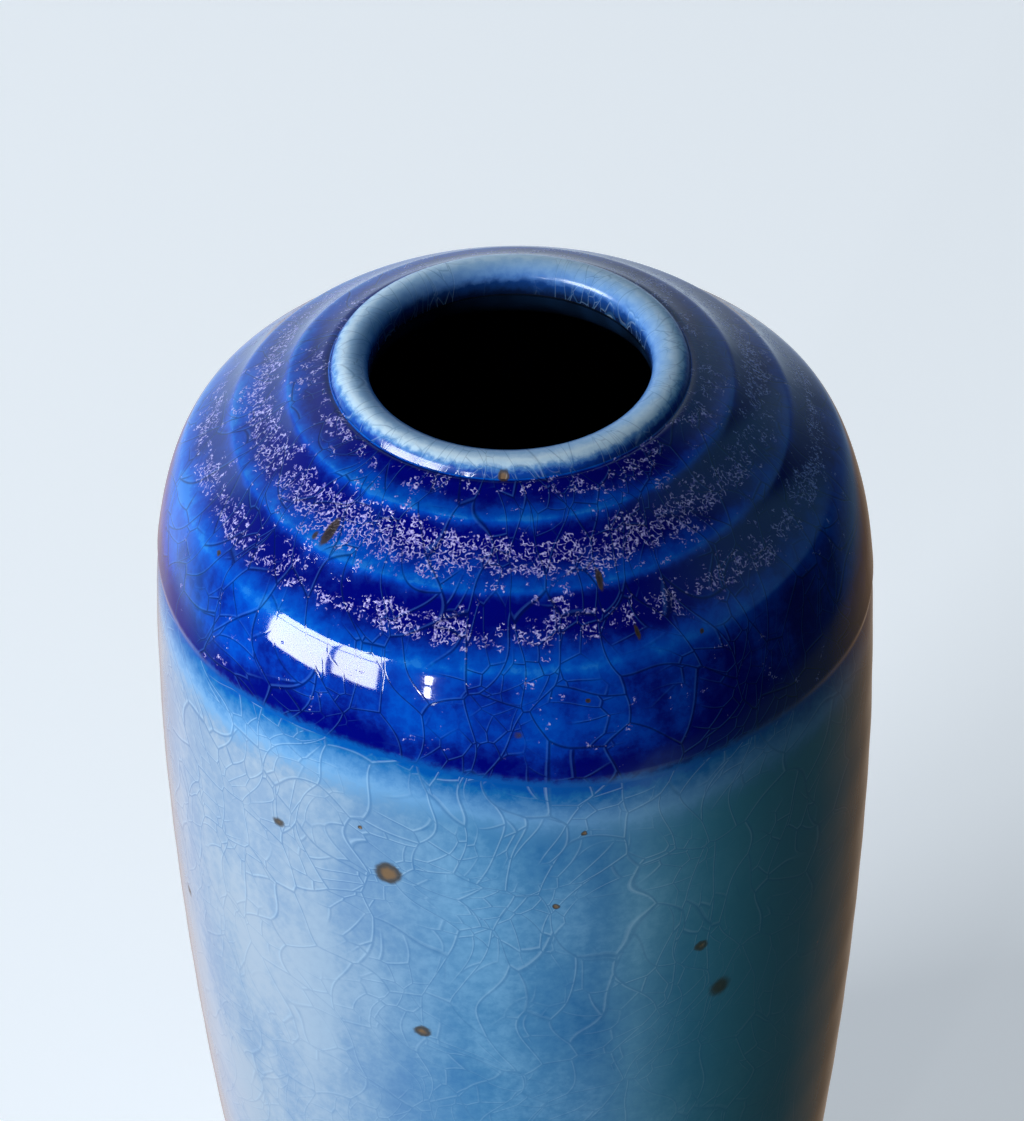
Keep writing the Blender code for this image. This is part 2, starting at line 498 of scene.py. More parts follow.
class TurnedPiece:
    """A closed outline turned about +Z, whose vertices remember their station on the outline."""

    STATION = "station"

    def __init__(self, name: str, outline: np.ndarray, turns: int) -> None:
        """Draws the outline vertex by vertex and turns it.

        Args:
            name: The piece's name.
            outline: Rows of (radius, height), without a repeat of the first at the end.
            turns: How many steps the full turn has.
        """
        self.outline = outline
        self.solid = self._draw(name, turns)
        mesh = self.solid.data
        count = len(mesh.vertices)
        stations = np.empty(count, np.float32)
        mesh.attributes[self.STATION].data.foreach_get("value", stations)
        mesh.attributes.remove(mesh.attributes[self.STATION])
        self.station = np.rint(stations).astype(int)
        places = np.empty(count * 3)
        mesh.vertices.foreach_get("co", places)
        places = places.reshape(-1, 3)
        self.turn = np.arctan2(places[:, 0], -places[:, 1])

    def _draw(self, name: str, turns: int) -> bpy.types.Object:
        """Extrudes one vertex along the outline, then turns it into a closed shell.

        Args:
            name: The piece's name.
            turns: How many steps the full turn has.

        Returns:
            The new object.
        """
        bpy.ops.object.select_all(action="DESELECT")
        bpy.ops.mesh.primitive_plane_add(size=MM, location=(0.0, 0.0, 0.0))
        solid = bpy.context.object
        solid.name = name
        solid.data.name = name
        on_axis = self.outline[0][0] == 0.0 and self.outline[-1][0] == 0.0
        route = self.outline if on_axis else np.vstack([self.outline, self.outline[:1]])
        bpy.ops.object.mode_set(mode="EDIT")
        bpy.ops.mesh.select_all(action="SELECT")
        bpy.ops.mesh.merge(type="CENTER")
        bpy.ops.transform.translate(value=(route[0][0], 0.0, route[0][1]))
        for step_r, step_z in np.diff(route, axis=0):
            move = {"value": (float(step_r), 0.0, float(step_z))}
            bpy.ops.mesh.extrude_vertices_move(TRANSFORM_OT_translate=move)
        bpy.ops.object.mode_set(mode="OBJECT")
        self._mark_stations(solid.data)

        screw = solid.modifiers.new("turn", "SCREW")
        screw.axis = "Z"
        screw.angle = math.tau
        screw.steps = screw.render_steps = turns
        bpy.ops.object.modifier_apply(modifier=screw.name)
        bpy.ops.object.mode_set(mode="EDIT")
        bpy.ops.mesh.select_all(action="SELECT")
        bpy.ops.mesh.remove_doubles(threshold=1e-7)
        bpy.ops.mesh.normals_make_consistent(inside=False)
        bpy.ops.object.mode_set(mode="OBJECT")
        return solid

    def _mark_stations(self, mesh: bpy.types.Mesh) -> None:
        """Stores on each vertex of the drawn outline the index of the station it stands on.

        Args:
            mesh: The drawn outline's mesh.
        """
        drawn = np.empty(len(mesh.vertices) * 3)
        mesh.vertices.foreach_get("co", drawn)
        drawn = drawn.reshape(-1, 3)[:, [0, 2]]
        apart = np.linalg.norm(drawn[:, None] - self.outline[None], axis=2)
        marks = mesh.attributes.new(self.STATION, "FLOAT", "POINT")
        marks.data.foreach_set("value", apart.argmin(axis=1).astype(np.float32))

    def place(self, spots: np.ndarray, marks: HandMarks) -> None:
        """Moves every vertex to a radius and height, out of round by the potter's hand.

        Args:
            spots: Rows of (radius, height), one for each vertex.
            marks: The unevenness that all coats share.
        """
        shift = marks.radius_shift(self.turn, spots[:, 1]) * ease(spots[:, 0], 0.0, 12 * MM)
        radius = np.maximum(spots[:, 0] + shift, 0.0)
        places = np.stack(
            [np.sin(self.turn) * radius, -np.cos(self.turn) * radius, spots[:, 1]], axis=1
        )
        self.solid.data.vertices.foreach_set("co", places.ravel())
        self.solid.data.update()

    def tell(self, fact: Facts, values: np.ndarray) -> None:
        """Stores one number on each vertex for the materials to read."""
        layer = self.solid.data.attributes.new(fact.value, "FLOAT", "POINT")
        layer.data.foreach_set("value", values.astype(np.float32))

    def dress(self, material: bpy.types.Material, smooth_angle: float = 40.0) -> None:
        """Gives the piece its material and smooth shading.

        Args:
            material: The material.
            smooth_angle: The sharpest angle that is shaded smooth, in degrees.
        """
        bpy.ops.object.select_all(action="DESELECT")
        self.solid.select_set(True)
        bpy.context.view_layer.objects.active = self.solid
        bpy.ops.object.shade_smooth_by_angle(angle=math.radians(smooth_angle))
        self.solid.data.materials.clear()
        self.solid.data.materials.append(material)


# ------------------------------------------------------------------------------ shader helper


class Graph:
    """Adds nodes to one node tree and joins them."""

    def __init__(self, tree: bpy.types.NodeTree) -> None:
        """Works on this tree."""
        self.tree = tree

    def add(self, kind: str, feeds: dict | None = None, **settings: object) -> bpy.types.Node:
        """Adds a node.

        Args:
            kind: The node type without its ShaderNode prefix.
            feeds: What each input takes, by its name or index: a socket or a plain value.
            **settings: The node's own properties.

        Returns:
            The new node.
        """
        node = self.tree.nodes.new(f"ShaderNode{kind}")
        for key, setting in settings.items():
            setattr(node, key, setting)
        for key, feed in (feeds or {}).items():
            self.feed(node.inputs[key], feed)
        return node

    def feed(self, socket: bpy.types.NodeSocket, value: object) -> None:
        """Links a socket into another one, or sets a plain value on it.

        Args:
            socket: The input.
            value: What it takes, or None to leave it.
        """
        if isinstance(value, bpy.types.NodeSocket):
            self.tree.links.new(value, socket)
        elif value is not None:
            socket.default_value = value

    def math(self, operation: str, *values: object, clamp: bool = False) -> object:
        """The result of a Math node."""
        feeds = dict(enumerate(values))
        return self.add("Math", feeds, operation=operation, use_clamp=clamp).outputs[0]

    def vector(self, operation: str, *values: object) -> object:
        """The result of a Vector Math node, a number where the operation gives one."""
        node = self.add("VectorMath", dict(enumerate(values)), operation=operation)
        return node.outputs["Value" if operation in ("LENGTH", "DISTANCE") else "Vector"]

    def scaled(self, vector: object, factors: Sequence[float]) -> object:
        """A vector multiplied axis by axis."""
        return self.vector("MULTIPLY", vector, tuple(factors))

    def fact(self, name: Facts) -> object:
        """The number that each vertex stores under this name."""
        return self.add("Attribute", attribute_name=name.value).outputs["Fac"]

    def rise(self, value: object, low: float, high: float, to: Sequence[float] = (0, 1)) -> object:
        """Maps a value smoothly from one range to another.

        Args:
            value: The number to map.
            low: Where the change starts.
            high: Where it ends.
            to: The results at low and at high.

        Returns:
            The mapped value.
        """
        feeds = {"Value": value, "From Min": low, "From Max": high}
        feeds |= {"To Min": to[0], "To Max": to[1]}
        node = self.add("MapRange", feeds, interpolation_type="SMOOTHSTEP")
        return node.outputs["Result"]

    def swing(self, value: object, reach: float) -> object:
        """Maps 0 to 1 smoothly onto a swing of this much below and above nothing."""
        return self.rise(value, 0.0, 1.0, (-reach, reach))

    def ramp(
        self, value: object, stops: Sequence[Stop], low: float = 0.0, high: float = 1.0
    ) -> object:
        """A colour ramp over a value.

        Args:
            value: The number that picks the colour.
            stops: Values and their colours, in rising order.
            low: The value at the ramp's start.
            high: The value at its end.

        Returns:
            The colour.
        """
        share = self.add("MapRange", {"Value": value, "From Min": low, "From Max": high})
        node = self.add("ValToRGB", {"Fac": share.outputs["Result"]})
        elements = node.color_ramp.elements
        elements.remove(elements[1])
        for index, (place, colour) in enumerate(stops):
            position = (place - low) / (high - low)
            element = elements[0] if index == 0 else elements.new(position)
            element.position = position
            element.color = colour
        return node.outputs["Color"]

    def mix(self, share: object, under: object, over: object, blend: str = "MIX") -> object:
        """Two colours mixed."""
        feeds = {"Factor": share, 6: under, 7: over}
        node = self.add("Mix", feeds, data_type="RGBA", blend_type=blend, clamp_factor=True)
        return node.outputs[2]

    def noise(
        self,
        vector: object,
        size: float,
        detail: float = 2.0,
        roughness: float = 0.5,
        distortion: float = 0.0,
    ) -> bpy.types.Node:
        """A noise texture.

        Args:
            vector: Where to read it, in metres.
            size: The size of its largest features in metres.
            detail: How many finer octaves it has.
            roughness: How strong the finer octaves are.
            distortion: How far it is twisted.

        Returns:
            The node, with Fac and Color outputs.
        """
        feeds = {
            "Vector": vector,
            "Scale": 1.0 / size,
            "Detail": detail,
            "Roughness": roughness,
            "Distortion": distortion,
        }
        return self.add("TexNoise", feeds)

    def cells(
        self, vector: object, size: float, feature: str, dimensions: str = "3D"
    ) -> bpy.types.Node:
        """A Voronoi texture whose cells are about this big."""
        feeds = {"Vector": vector, "Scale": 1.0 / size}
        return self.add("TexVoronoi", feeds, feature=feature, voronoi_dimensions=dimensions)

    def torn(
        self,
        vector: object,
        size: float,
        reach: Sequence[float],
        detail: float = 2.0,
        roughness: float = 0.5,
    ) -> object:
        """A vector pushed about by a noise.

        Args:
            vector: What to push, and where the noise is read.
            size: The size of the noise's largest features.
            reach: The width of the push on each axis.
            detail: How many finer octaves the noise has.
            roughness: How strong the finer octaves are.

        Returns:
            The pushed vector.
        """
        push = self.noise(vector, size, detail, roughness).outputs["Color"]
        push = self.vector("SUBTRACT", push, (0.5, 0.5, 0.5))
        return self.vector("ADD", vector, self.scaled(push, reach))


class EffectGroup:
    """A shader node group with named sockets."""

    def __init__(self, name: str, takes: dict[str, object], gives: dict[str, str]) -> None:
        """Creates the group and its sockets.

        Args:
            name: The group's name.
            takes: The inputs, each with its default: a number, or None for a vector.
            gives: The outputs, each with its socket type.
        """
        self.tree = bpy.data.node_groups.new(name, "ShaderNodeTree")
        for label, default in takes.items():
            kind = "NodeSocketVector" if default is None else "NodeSocketFloat"
            socket = self.tree.interface.new_socket(label, in_out="INPUT", socket_type=kind)
            if default is not None:
                socket.default_value = default
        for label, kind in gives.items():
            self.tree.interface.new_socket(label, in_out="OUTPUT", socket_type=kind)
        self.graph = Graph(self.tree)
        self.inputs = self.tree.nodes.new("NodeGroupInput").outputs
        self.outputs = self.tree.nodes.new("NodeGroupOutput").inputs

    def give(self, **results: object) -> "EffectGroup":
        """Joins results to the outputs, whose names have a space for each underscore."""
        for label, result in results.items():
            self.graph.feed(self.outputs[label.replace("_", " ")], result)
        return self

    def use(self, graph: Graph, **feeds: object) -> bpy.types.Node:
        """Places the group in another tree with its own values.

        Args:
            graph: The other tree.
            **feeds: What each input takes, with an underscore for each space in its name.

        Returns:
            The group's node.
        """
        named = {label.replace("_", " "): feed for label, feed in feeds.items()}
        node = graph.tree.nodes.new("ShaderNodeGroup")
        node.node_tree = self.tree
        for label, feed in named.items():
            graph.feed(node.inputs[label], feed)
        return node


FLOAT, VECTOR = "NodeSocketFloat", "NodeSocketVector"


class GlazeEffects:
    """The effects that more than one glaze shows, each built once."""

    def __init__(self) -> None:
        """Builds every group."""
        self.wall_map = self._wall_map()
        self.crackle = self._crackle()
        self.iron = self._iron()
        self.drift = self._drift()
        self.skin = self._skin()

    @staticmethod
    def _wall_map() -> EffectGroup:
        """The wall rolled out flat in millimetres: X round the pot, Y down from the lip."""
        takes = {"Place": None, "Along": 0.0}
        group = EffectGroup("rolled_out_wall", takes, {"Flat": VECTOR, "Off Seam": FLOAT})
        graph = group.graph
        split = graph.add("SeparateXYZ", {0: group.inputs["Place"]})
        back = graph.math("MULTIPLY", split.outputs["Y"], -1.0)
        turn = graph.math("ARCTAN2", split.outputs["X"], back)
        round_pot = graph.math("MULTIPLY", turn, MAP_RADIUS)
        flat = graph.add("CombineXYZ", {"X": round_pot, "Y": group.inputs["Along"]})
        off_seam = graph.rise(graph.math("ABSOLUTE", turn), 2.7, 3.05, (1.0, 0.0))
        return group.give(Flat=flat.outputs[0], Off_Seam=off_seam)

    def _crackle(self) -> EffectGroup:
        """A net of fine cracks: long ones down the wall, and short ones that end on them. Highlight
        is a painted highlight: the same cracks shifted a little aside, a light line along one edge
        of each.
        """
        takes = {"Flat": None, "Cell": 5.5, "Width": 0.10, "Fill": 0.5}
        group = EffectGroup("crackle", takes, {"Line": FLOAT, "Halo": FLOAT, "Tint": FLOAT})
        graph, flat = group.graph, group.inputs["Flat"]
        bent = graph.torn(flat, 17.0, (16.0, 16.0, 0.0), detail=1.0)
        patches = graph.noise(flat, 9.0, detail=1.0).outputs["Fac"]
        reach = graph.math("SUBTRACT", group.inputs["Fill"], patches)
        shown = graph.rise(reach, -0.10, 0.10)
        cell, width = group.inputs["Cell"], group.inputs["Width"]
        aside = graph.add("CombineXYZ", {"X": width, "Y": width}).outputs[0]
        lines, tints = [], []
        for moved in (bent, graph.vector("ADD", bent, aside)):
            tall = graph.scaled(moved, (1.0, 0.6, 0.0))
            long_line, tint = self._net(graph, tall, cell, width)
            hop = graph.scaled(tint, (90.0, 90.0, 0.0))
            short_cell = graph.math("MULTIPLY", cell, 0.62)
            short_line, _ = self._net(graph, graph.vector("ADD", moved, hop), short_cell, width)
            short_line = graph.math("MULTIPLY", short_line, shown)
            lines.append(graph.math("MAXIMUM", long_line, short_line))
            tints.append(tint)
        # painted highlight: the crack net moved aside, less the crack itself, a light line beside
        # each crack as if lit on one edge
        glint = graph.math("SUBTRACT", lines[1], lines[0], clamp=True)
        return group.give(Line=lines[0], Halo=glint, Tint=tints[0])

    @staticmethod
    def _net(graph: Graph, flat: object, cell: object, width: object) -> tuple[object, object]:
        """One net of cracks.

        Args:
            graph: The tree to add nodes to.
            flat: The rolled-out wall.
            cell: How big the cells between the cracks are.
            width: How far a crack reaches on each side of its middle.

        Returns:
            The cracks, 1 in their middle, and a random colour for each cell.
        """
        scale = graph.math("DIVIDE", 1.0, cell)
        edges = graph.cells(flat, 1.0, "DISTANCE_TO_EDGE", "2D")
        cells = graph.cells(flat, 1.0, "F1", "2D")
        for node in (edges, cells):
            graph.feed(node.inputs["Scale"], scale)
        gap = graph.math("MULTIPLY", edges.outputs["Distance"], cell)
        line = graph.math("SUBTRACT", 1.0, graph.math("DIVIDE", gap, width), clamp=True)
        return line, cells.outputs["Color"]

    @staticmethod
    def _iron() -> EffectGroup:
        """Sparse iron specks that bled brown through the glass, wherever the clay had one."""
        takes = {"Place": None, "Spacing": 0.012, "Size": 0.0006, "Share": 0.25}
        group = EffectGroup("iron_specks", takes, {"Bleed": FLOAT, "Core": FLOAT})
        graph = group.graph
        place = graph.torn(group.inputs["Place"], 0.9 * MM, (0.7 * MM,) * 3)
        specks = graph.cells(place, 1.0, "F1")
        scale = graph.math("DIVIDE", 1.0, group.inputs["Spacing"])
        graph.feed(specks.inputs["Scale"], scale)
        apart = graph.math("MULTIPLY", specks.outputs["Distance"], group.inputs["Spacing"])
        pick = graph.add("SeparateColor", {0: specks.outputs["Color"]})
        chosen = graph.math("LESS_THAN", pick.outputs["Red"], group.inputs["Share"])
        vary = graph.rise(pick.outputs["Green"], 0.0, 1.0, (0.35, 1.3))
        size = graph.math("MULTIPLY", group.inputs["Size"], vary)
        near = graph.math("DIVIDE", apart, size)
        bleed = graph.math("MULTIPLY", graph.rise(near, 0.5, 1.25, (1.0, 0.0)), chosen)
        core = graph.math("MULTIPLY", graph.rise(near, 0.25, 0.7, (1.0, 0.0)), chosen)
        return group.give(Bleed=bleed, Core=core)

    @staticmethod
    def _drift() -> EffectGroup:
        """How the glass ran and settled: soft clouds, drawn out down the wall."""
        takes = {"Place": None}
        gives = {"Cloud": FLOAT, "Streak": FLOAT, "Grain": FLOAT}
        group = EffectGroup("glaze_drift", takes, gives)
        graph, place = group.graph, group.inputs["Place"]
        cloud = graph.noise(graph.scaled(place, (1.0, 1.0, 0.7)), 16 * MM, 3.0, 0.55, 0.3)
        streak = graph.noise(graph.scaled(place, (1.0, 1.0, 0.22)), 4.5 * MM, 3.0, 0.5)
        grain = graph.noise(place, 1.1 * MM, 4.0, 0.65)
        return group.give(
            Cloud=graph.rise(cloud.outputs["Fac"], 0.3, 0.7),
            Streak=graph.rise(streak.outputs["Fac"], 0.28, 0.72),
            Grain=graph.rise(grain.outputs["Fac"], 0.25, 0.75),
        )

    @staticmethod
    def _skin() -> EffectGroup:
        """The glass's own surface, in millimetres: long soft swells and a few pinholes."""
        takes = {"Place": None, "Swell": 0.02, "Pits": 0.05}
        group = EffectGroup("glass_skin", takes, {"Height": FLOAT, "Pit": FLOAT})
        graph, place = group.graph, group.inputs["Place"]
        swell = graph.noise(place, 7 * MM, 2.0, 0.4).outputs["Fac"]
        ripple = graph.noise(place, 2.2 * MM, 1.0, 0.4).outputs["Fac"]
        surface = graph.math("MULTIPLY_ADD", ripple, 0.16, swell)
        height = graph.math("MULTIPLY", surface, group.inputs["Swell"])
        holes = graph.cells(place, 5 * MM, "F1")
        pick = graph.add("SeparateColor", {0: holes.outputs["Color"]})
        chosen = graph.math("LESS_THAN", pick.outputs["Blue"], 0.4)
        apart = graph.math("MULTIPLY", holes.outputs["Distance"], 5.0)
        pit = graph.math("MULTIPLY", graph.rise(apart, 0.08, 0.2, (1.0, 0.0)), chosen)
        depth = graph.math("MULTIPLY", pit, group.inputs["Pits"])
        return group.give(Height=graph.math("SUBTRACT", height, depth), Pit=pit)


@dataclass(frozen=True)
class IronSpot:
    """One iron spot on the wall: its angle from the front, and its place and size in mm."""

    turn: float
    along: float
    width: float
    length: float
    strength: float = 1.0


FLANK_SPOTS = (
    IronSpot(-20.5, 44.7, 1.15, 1.25),
    IronSpot(-16.0, 66.5, 0.8, 0.7, 0.8),
    IronSpot(-40.0, 43.5, 0.7, 0.6, 0.6),
    IronSpot(32.6, 65.4, 1.2, 1.3, 0.5),
    IronSpot(28.8, 58.0, 0.65, 0.65, 0.7),
    IronSpot(5.3, 47.6, 0.32, 0.32),
    IronSpot(9.8, 38.2, 0.26, 0.26),
    IronSpot(-25.0, 39.6, 0.22, 0.22),
)
SHOULDER_SPOTS = (
    IronSpot(-42.4, 10.2, 0.62, 1.5),
    IronSpot(-44.9, 11.3, 0.35, 0.5, 0.6),
    IronSpot(17.0, 11.7, 0.42, 1.0, 0.9),
    IronSpot(21.4, 17.4, 0.30, 0.7, 0.8),
    IronSpot(11.2, 22.7, 0.24, 0.24),
    IronSpot(32.4, 19.3, 0.24, 0.24),
    IronSpot(-61.7, 18.9, 0.25, 0.25),
)
LIP_SPOTS = (IronSpot(-2.8, -0.1, 0.95, 0.75),)


def spot_mask(graph: Graph, flat: object, spots: Sequence[IronSpot]) -> object:
    """How deep inside the nearest of some iron spots each place lies.

    Args:
        graph: The tree to add nodes to.
        flat: The rolled-out wall in millimetres.
        spots: The spots.

    Returns:
        A number that is above 1 in the middle of a spot and 0 from about its edge.
    """
    torn = graph.torn(flat, 0.9, (0.6, 0.6, 0.0), 2.0, 0.6)
    deepest = None
    for spot in spots:
        centre = (math.radians(spot.turn) * MAP_RADIUS, spot.along, 0.0)
        away = graph.vector("SUBTRACT", torn, centre)
        sized = graph.scaled(away, (1.0 / spot.width, 1.0 / spot.length, 0.0))
        near = graph.math("SUBTRACT", 1.35, graph.vector("LENGTH", sized))
        depth = graph.math("MULTIPLY", near, spot.strength)
        deepest = depth if deepest is None else graph.math("MAXIMUM", deepest, depth)
    return graph.math("MAXIMUM", deepest, 0.0)


# ---------------------------------------------------------------------------------- finishes


# Both outer glazes have this colour where the cobalt thins out, so that they meet.
EDGE = hue(1, 74, 150)


class Finish:
    """A Principled material in the making, painted in Object coordinates."""

    def __init__(self, name: str) -> None:
        """Starts the material.

        Args:
            name: The material's name.
        """
        self.material = bpy.data.materials.new(name)
        self.material.use_nodes = True
        self.graph = Graph(self.material.node_tree)
        self.shader = self.material.node_tree.nodes["Principled BSDF"]
        self.place = self.graph.add("TexCoord").outputs["Object"]

    def fired(self, colour: object, roughness: object, height: object) -> bpy.types.Material:
        """Joins what the shader takes.

        Args:
            colour: The surface's colour.
            roughness: How matt it is.
            height: How far it stands out, in millimetres.

        Returns:
            The finished material.
        """
        bump = self.graph.add("Bump", {"Height": height, "Distance": MM, "Strength": 1.0})
        self.graph.feed(self.shader.inputs["Base Color"], colour)
        self.graph.feed(self.shader.inputs["Roughness"], roughness)
        self.graph.feed(self.shader.inputs["Normal"], bump.outputs["Normal"])
        return self.material


@dataclass(frozen=True)
class Flaws:
    """How one outer glaze shows what both have: crackle, iron and an uneven skin.

    The marks are the colours of the cracks' painted highlight, the cracks, the iron's bleed and its
    core, each with the share of it that covers the glaze.
    """

    crackle: dict[str, float]
    specks: dict[str, float]
    swell: float
    spots: tuple[IronSpot, ...]
    bleed_end: float
    marks: tuple[Mark, Mark, Mark, Mark]
    crack_depth: float = -0.004


class OuterFinish(Finish):
    """A finish that reads its place on the wall and has the outer glazes' flaws."""

    def __init__(self, slot: Slot, effects: GlazeEffects, flaws: Flaws) -> None:
        """Starts the material and places the shared effects.

        Args:
            slot: The record's material slot.
            effects: The shared effect groups.
            flaws: How this glaze shows them.
        """
        super().__init__(slot.value)
        graph, place = self.graph, self.place
        self.flaws = flaws
        self.along, self.lap = graph.fact(Facts.ALONG), graph.fact(Facts.LAP)
        self.across = graph.add("SeparateXYZ", {0: place}).outputs["X"]
        self.wall = effects.wall_map.use(graph, Place=place, Along=self.along).outputs
        self.drift = effects.drift.use(graph, Place=place).outputs
        self.crackle = effects.crackle.use(graph, Flat=self.wall["Flat"], **flaws.crackle).outputs
        self.skin = effects.skin.use(graph, Place=place, Swell=flaws.swell, Pits=0.05).outputs
        self.iron = effects.iron.use(graph, Place=place, **flaws.specks).outputs
        self.wander = graph.swing(self.drift["Grain"], 0.25)

    def flawed(self, colour: object, clear: object) -> tuple[object, object, object, object]:
        """Adds the cracks, a painted highlight beside them, and the iron to the glaze's own colour.

        Args:
            colour: The glaze's own colour.
            clear: How clearly the cracks show, from 0 to 1.

        Returns:
            The new colour, the height with the cracks sunk in, the iron's bleed and its core.
        """
        graph = self.graph
        lines = graph.math("MULTIPLY", self.crackle["Line"], clear)
        # painted highlight: the light line beside each crack
        crack_glint = graph.math("MULTIPLY", self.crackle["Halo"], clear)
        deep = spot_mask(graph, self.wall["Flat"], self.flaws.spots)
        bleed = graph.rise(deep, 0.05, self.flaws.bleed_end)
        bleed = graph.math("MAXIMUM", bleed, self.iron["Bleed"])
        core = graph.math("MAXIMUM", graph.rise(deep, 0.5, 1.0), self.iron["Core"])
        for mask, (tone, share) in zip((crack_glint, lines, bleed, core), self.flaws.marks):
            colour = graph.mix(graph.math("MULTIPLY", mask, share), colour, tone)
        sunk = graph.math("MULTIPLY_ADD", lines, self.flaws.crack_depth, self.skin["Height"])
        return colour, sunk, bleed, core


@dataclass(frozen=True)
class CobaltFinish:
    """The glossy cobalt coat, pale over the ring crests and near black where it pooled."""

    tones: tuple[Stop, ...] = (
        (0.0, hue(22, 98, 183)),
        (0.08, hue(4, 84, 178)),
        (0.25, hue(1, 68, 168)),
        (0.45, hue(2, 55, 155)),
        (0.6, hue(3, 42, 140)),
        (0.8, hue(3, 22, 114)),
        (1.0, hue(0, 3, 101)),
    )
    lavender: Colour = hue(92, 86, 168)
    frost: Colour = hue(186, 178, 226)
    crystal_matt: float = 0.22
    crystal_height: float = 0.012
    iron_matt: float = 0.25
    streaks: float = 0.14
    clouds: float = 0.12
    tints: float = 0.05
    grain: float = 0.11
    # painted shade: how much darker the cobalt is drawn on the side away from the window
    far_side_shade: float = 0.24
    roughness: float = 0.06

    def material(self, effects: GlazeEffects) -> bpy.types.Material:
        """Builds the material.

        Args:
            effects: The shared effect groups.

        Returns:
            The cobalt glaze.
        """
        flaws = Flaws(
            crackle={"Cell": 4.6, "Width": 0.12, "Fill": 0.5},
            specks={"Spacing": 0.009, "Size": 0.00035, "Share": 0.12},
            swell=0.05,
            spots=SHOULDER_SPOTS + LIP_SPOTS,
            bleed_end=0.5,
            marks=(
                # painted highlight beside each crack, then the crack, the iron's bleed and its core
                (hue(74, 132, 205), 0.20),
                (hue(0, 12, 62), 0.75),
                (hue(58, 46, 26), 0.92),
                (hue(14, 12, 14), 0.5),
            ),
        )
        coat = OuterFinish(Slot.COBALT, effects, flaws)
        graph, drift = coat.graph, coat.drift
        depth = graph.fact(Facts.POOL)
        for part in (
            graph.swing(drift["Streak"], self.streaks),
            graph.swing(drift["Cloud"], self.clouds),
            graph.swing(coat.crackle["Tint"], self.tints),
            # painted shade: the cobalt deepens towards +X, the side turned away from the window
            # light
            graph.rise(coat.across, -6 * MM, 16 * MM, (0.0, self.far_side_shade)),
            graph.swing(drift["Grain"], self.grain),
        ):
            depth = graph.math("ADD", depth, part)
        crystals, glow = self._crystals(graph, coat.place, graph.fact(Facts.BLOOM))
        colour = graph.mix(crystals, graph.ramp(depth, self.tones), glow)
        colour, sunk, bleed, _ = coat.flawed(colour, coat.wall["Off Seam"])
        fade = graph.rise(graph.math("ADD", coat.lap, coat.wander), 0.1, 1.3, (1.0, 0.0))
        matt = graph.math("MULTIPLY_ADD", crystals, self.crystal_matt, self.roughness)
        matt = graph.math("MULTIPLY_ADD", bleed, self.iron_matt, matt)
        raised = graph.math("MULTIPLY_ADD", crystals, self.crystal_height, sunk)
        return coat.fired(graph.mix(fade, colour, EDGE), matt, raised)

    def _crystals(self, graph: Graph, place: object, bloom: object) -> tuple[object, object]:
        """Fine threads of pale crystal, in tufts that grew where the glass pooled.

        Args:
            graph: The tree to add nodes to.
            place: Object coordinates.
            bloom: How ready each place is to crystallise, from 0 to 1.

        Returns:
            The crystals' mask and their colour.
        """
        curl = graph.noise(place, 0.55 * MM, 1.0, 0.6).outputs["Fac"]
        off_thread = graph.math("ABSOLUTE", graph.math("SUBTRACT", curl, 0.5))
        thread = graph.rise(off_thread, 0.02, 0.075, (1.0, 0.0))
        tuft = graph.noise(place, 1.3 * MM, 3.0, 0.7).outputs["Fac"]
        meadow = graph.noise(place, 6 * MM, 2.0, 0.5).outputs["Fac"]
        grown = graph.math("MULTIPLY_ADD", graph.math("SUBTRACT", meadow, 0.5), 0.45, tuft)
        grown = graph.math("MULTIPLY_ADD", bloom, 0.25, grown)
        patch = graph.rise(grown, 0.665, 0.745)
        bright = graph.rise(graph.noise(place, 0.3 * MM, 1.0).outputs["Fac"], 0.35, 0.65)
        mask = graph.math("MULTIPLY", graph.math("MULTIPLY", thread, patch), 0.92)
        return mask, graph.mix(bright, self.lavender, self.frost)


